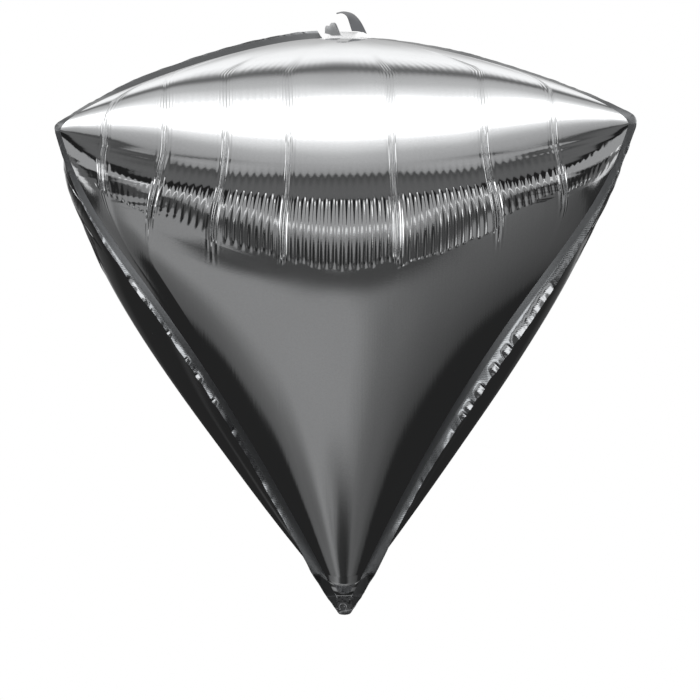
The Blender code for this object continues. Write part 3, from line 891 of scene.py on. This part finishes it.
def film_material(
    name, colour, roughness, grain, streaks=0.0, ribs=0.0, metallic=1.0, sealed=False, glow=0.0
):
    """Metallised film: uneven sheen, fine grain, and drawn streaks or embossed ribs if given.

    A sealed one is duller beside the seam and near the tip, where the heat has pressed it.
    """
    material = bpy.data.materials.new(name)
    material.use_nodes = True
    tree = material.node_tree
    shader = tree.nodes["Principled BSDF"]
    shader.inputs["Metallic"].default_value = metallic
    # Any glow is painted light: a white emission that brightens the film as if it were lit, though
    # it is no lamp.
    shader.inputs["Emission Color"].default_value = grey(1.0)
    shader.inputs["Emission Strength"].default_value = glow
    place = tree.nodes.new("ShaderNodeTexCoord")

    def tinted(share):
        return (*(min(c * share, 1.0) for c in colour), 1.0)

    def noise(source, stretch, detail):
        scaled = make_node(tree, "ShaderNodeMapping", {"Vector": source, "Scale": stretch})
        inputs = {"Vector": scaled.outputs["Vector"], "Scale": 1.0, "Detail": detail}
        return make_node(tree, "ShaderNodeTexNoise", inputs).outputs["Fac"]

    def spread(value, low, high):
        inputs = {"Value": value, "To Min": low, "To Max": high}
        return make_node(tree, "ShaderNodeMapRange", inputs).outputs["Result"]

    def relief(value, distance, before=None):
        inputs = {"Height": value, "Distance": distance}
        if before is not None:
            inputs["Normal"] = before
        return make_node(tree, "ShaderNodeBump", inputs).outputs["Normal"]

    cloud = noise(place.outputs["Object"], (22, 22, 22), 3.0)
    sheen = spread(cloud, roughness * 0.85, roughness * 1.15)
    speckle = noise(place.outputs["Object"], (1100, 1100, 1100), 1.0)
    speckle = math_node(tree, "MULTIPLY_ADD", speckle, 0.7, spread(cloud, 0.0, 0.3))
    shade = mixed(tree, speckle, tinted(0.90), tinted(1.08))
    if sealed:
        split = make_node(tree, "ShaderNodeSeparateXYZ", {0: place.outputs["UV"]})
        past_tip = soft_step(tree, split.outputs[0], *SEALED_TRAVEL)
        off_seam = soft_step(tree, split.outputs[1], *SEALED_WIDTH)
        free = math_node(tree, "MULTIPLY", past_tip, off_seam)
        shade = mixed(tree, free, tinted(SEALED_SHADE), shade)
        inputs = {"Factor": free, 2: SEALED_ROUGHNESS, 3: sheen}
        sheen = make_node(tree, "ShaderNodeMix", inputs).outputs[0]
    tree.links.new(sheen, shader.inputs["Roughness"])
    tree.links.new(shade, shader.inputs["Base Color"])
    normal = relief(noise(place.outputs["Object"], (1500, 1500, 1500), 2.0), grain)
    if streaks:
        normal = relief(noise(place.outputs["UV"], (700, 12, 1), 1.0), streaks, normal)
    if ribs:
        inputs = {"Vector": place.outputs["UV"], "Rotation": (0, 0, math.radians(38))}
        turn = make_node(tree, "ShaderNodeMapping", inputs)
        inputs = {"Vector": turn.outputs["Vector"], "Scale": 270.0, "Distortion": 1.2}
        wave = make_node(tree, "ShaderNodeTexWave", inputs)
        normal = relief(wave.outputs["Fac"], ribs, normal)
    tree.links.new(normal, shader.inputs["Normal"])
    return material


def make_world():
    """Studio: white to the camera, and to the film bands of light by direction."""
    world = bpy.data.worlds.new("studio")
    bpy.context.scene.world = world
    world.use_nodes = True
    tree = world.node_tree
    tree.nodes.clear()
    number, step, blend = (partial(make, tree) for make in (math_node, soft_step, mixed))

    def ramp(value, stops, low, high):
        """Light against an angle in degrees, where value runs from 0 at low to 1 at high."""
        node = make_node(tree, "ShaderNodeValToRGB", {"Fac": value})
        elements = node.color_ramp.elements
        while len(elements) < len(stops):
            elements.new(0.5)
        for element, (angle, light) in zip(elements, stops):
            element.position = (angle - low) / (high - low)
            element.color = grey(light)
        return node.outputs["Color"]

    place = tree.nodes.new("ShaderNodeTexCoord")
    x, y, z = make_node(tree, "ShaderNodeSeparateXYZ", {0: place.outputs["Generated"]}).outputs
    elevation = number("ARCSINE", z)
    share = number("ADD", number("DIVIDE", elevation, math.pi), 0.5)
    azimuth = number("ABSOLUTE", number("ARCTAN2", x, number("MULTIPLY", y, -1.0)))
    around = number("MULTIPLY", azimuth, math.degrees(1.0))
    up_by = number("MULTIPLY", elevation, math.degrees(1.0))
    # Azimuths fold over at the sides, so that low patterns and softboxes lie behind as well.
    out_by = number("MINIMUM", around, number("SUBTRACT", 180.0, around))

    def within(value, low, high, soft):
        rising = step(value, low - soft, low + soft)
        return number("MULTIPLY", rising, step(value, high + soft, high - soft))

    front = ramp(share, FRONT_STOPS, -90, 90)
    back = ramp(share, BACK_STOPS, -90, 90)

    # From the gap outwards: black, light, the bright line, dark.
    line_from, rate, half_width_of_line, line_end = LINE
    line = number("ADD", number("MULTIPLY", number("SUBTRACT", GAP[0], up_by), rate), line_from)
    off_line = number("SUBTRACT", out_by, line)
    pattern = blend(step(off_line, -2.0, 2.0), *(grey(light) for light in BESIDE_LINE))
    from_line = number("ABSOLUTE", off_line)
    on_line = step(from_line, half_width_of_line + 1.0, half_width_of_line - 1.5)
    on_line = number("MULTIPLY", on_line, step(up_by, line_end - 3.0, line_end + 3.0))
    pattern = blend(on_line, pattern, grey(LINE_LIGHT))
    part = number("DIVIDE", number("SUBTRACT", up_by, GAP[1]), GAP[0] - GAP[1])
    gap = number("MULTIPLY", number("POWER", number("MAXIMUM", part, 0.0), 0.6), GAP[2])
    in_gap = step(number("SUBTRACT", out_by, gap), 1.5, -1.5)
    pattern = blend(in_gap, pattern, grey(GAP_LIGHT))
    low_front = blend(step(up_by, GAP[0] - 0.6, GAP[0] - 1.8), front, pattern)

    # Below the level line, a light patch narrows towards azimuth 0, with black beyond it.
    top, bottom, wide, narrow = NARROWING
    part = number("DIVIDE", number("SUBTRACT", up_by, bottom), top - bottom)
    reach = number("ADD", number("MULTIPLY", part, wide - narrow), narrow)
    near, dark, far = (grey(light) for light in OUTSIDE_PATCH)
    under = blend(step(out_by, DARK_FROM - 2.0, DARK_FROM + 2.0), near, dark)
    under = blend(step(out_by, DARK_FROM + 14.0, DARK_FROM + 20.0), under, far)
    in_patch = step(number("SUBTRACT", out_by, reach), 1.5, -1.5)
    under = blend(in_patch, under, grey(PATCH_LIGHT))
    low_front = blend(step(up_by, GAP[1], GAP[1] - 1.0), low_front, under)
    level = within(up_by, LEVEL_LINE[1], LEVEL_LINE[0], 0.4)
    level = number("MULTIPLY", level, step(out_by, LEVEL_LINE[3], LEVEL_LINE[2]))
    low_front = blend(level, low_front, grey(LEVEL_LIGHT))
    low_front = blend(step(out_by, *SIDE_FROM), low_front, grey(SIDE_LIGHT))
    low_front = blend(step(up_by, GAP[0], GAP[0] - 1.0), front, low_front)
    straight_behind = number("MULTIPLY", step(up_by, -25.0, -30.0), step(around, 142.0, 156.0))
    low_back = blend(straight_behind, back, low_front)
    sides = blend(step(around, 86.0, 94.0), low_front, low_back)
    # Behind, both end above the low patterns.
    hidden = number("MULTIPLY", step(around, 88.0, 92.0), step(up_by, -10.0, -14.0))
    shown = number("SUBTRACT", 1.0, hidden)
    for lamp, lights in ((REFLECTOR, REFLECTOR_LIGHTS), (SOFTBOX, SOFTBOX_LIGHTS)):
        near, far, low, high = lamp
        patch = number("MULTIPLY", within(out_by, near, far, 1.5), within(up_by, low, high, 1.5))
        patch = number("MULTIPLY", patch, shown)
        lit = blend(step(up_by, *DIMMED_BETWEEN), *(grey(light) for light in lights))
        sides = blend(patch, sides, lit)
    overhead = blend(step(around, 80.0, 100.0), front, back)
    sides = blend(step(up_by, 56.0, 58.0), sides, overhead)

    # Further down a glow takes over, but for a dark spot straight down.
    behind = step(around, 100.0, 150.0)
    ahead = number("MULTIPLY", y, number("SUBTRACT", 1.0, number("MULTIPLY", behind, 2.0)))
    flat = math.cos(GLOW_ELEVATION)
    right, forwards = flat * math.sin(GLOW_AZIMUTH), -flat * math.cos(GLOW_AZIMUTH)
    cosine = number("ADD", number("MULTIPLY", x, right), number("MULTIPLY", ahead, forwards))
    cosine = number("ADD", cosine, number("MULTIPLY", z, math.sin(GLOW_ELEVATION)))
    off_glow = number("DIVIDE", number("ARCCOSINE", cosine), math.pi / 2)
    glow = ramp(off_glow, GLOW_STOPS, 0, 90)
    spot = step(up_by, -72.0, -79.0)
    glow = blend(number("MULTIPLY", spot, 0.88), glow, grey(0.0))
    studio = blend(step(up_by, -55.5, -58.5), sides, glow)

    light = make_node(tree, "ShaderNodeBackground", {"Color": studio})
    white = make_node(tree, "ShaderNodeBackground", {"Color": grey(1.0)})
    path = tree.nodes.new("ShaderNodeLightPath")
    inputs = {0: path.outputs["Is Camera Ray"], 1: light.outputs[0], 2: white.outputs[0]}
    mix = make_node(tree, "ShaderNodeMixShader", inputs)
    make_node(tree, "ShaderNodeOutputWorld", {"Surface": mix.outputs[0]})


def make_floor():
    place = (0, 0, FLOOR_HEIGHT)
    bpy.ops.mesh.primitive_circle_add(vertices=96, radius=9.0, fill_type="NGON", location=place)
    floor = bpy.context.object
    floor.name = "floor"
    material = bpy.data.materials.new("floor_paint")
    material.use_nodes = True
    shader = material.node_tree.nodes["Principled BSDF"]
    shader.inputs["Base Color"].default_value = grey(0.85)
    shader.inputs["Roughness"].default_value = 0.9
    shader.inputs["Emission Color"].default_value = grey(1.0)
    shader.inputs["Emission Strength"].default_value = 0.35
    floor.data.materials.append(material)
    floor.visible_glossy = False


def make_camera():
    data = bpy.data.cameras.new("camera")
    data.sensor_width = 36.0
    data.lens = data.sensor_width * CAMERA_PIXELS / PHOTO_SIDE
    camera = bpy.data.objects.new("camera", data)
    around = Matrix.Rotation(-CAMERA_YAW, 4, "Z")
    place = Matrix.Translation((CAMERA_SIDE, -CAMERA_DISTANCE, CAMERA_HEIGHT))
    upright = Matrix.Rotation(math.pi / 2, 4, "X") @ Matrix.Rotation(-CAMERA_ROLL, 4, "Z")
    camera.matrix_world = around @ place @ upright
    bpy.context.scene.collection.objects.link(camera)
    bpy.context.scene.camera = camera


def main():
    make_camera()
    make_world()
    make_floor()
    film = film_material("film", (0.795, 0.805, 0.815), 0.075, 0.000013, streaks=0.000010)
    seal = film_material("seal", (0.40, 0.41, 0.42), 0.12, 0.000008, ribs=0.000012, sealed=True)
    tab = film_material("tab", (0.34, 0.345, 0.355), 0.24, 0.000010)
    # The neck's glow is painted light: its white film emits so that it reads bright where the
    # studio lights it only dimly.
    white = film_material("neck", (0.93, 0.935, 0.94), 0.40, 0.000010, metallic=0.05, glow=0.4)
    dark = film_material("tail", (0.16, 0.165, 0.175), 0.35, 0.000008, streaks=0.00003)
    smoke = film_material("roll", (0.60, 0.61, 0.62), 0.38, 0.000008, metallic=0.2)
    for number, side in enumerate(("front", "right", "back", "left")):
        panel_piece(side, number, film)
    corners = ("front_right", "back_right", "back_left", "front_left")
    for number, corner in enumerate(corners):
        flange_piece(corner, number, 1.0 if number % 2 == 0 else -1.0, seal)
    tab_piece(tab)
    neck_piece(white)
    tail_piece(dark)
    roll_piece(smoke)
    bpy.context.scene.view_settings.view_transform = "Standard"


main()
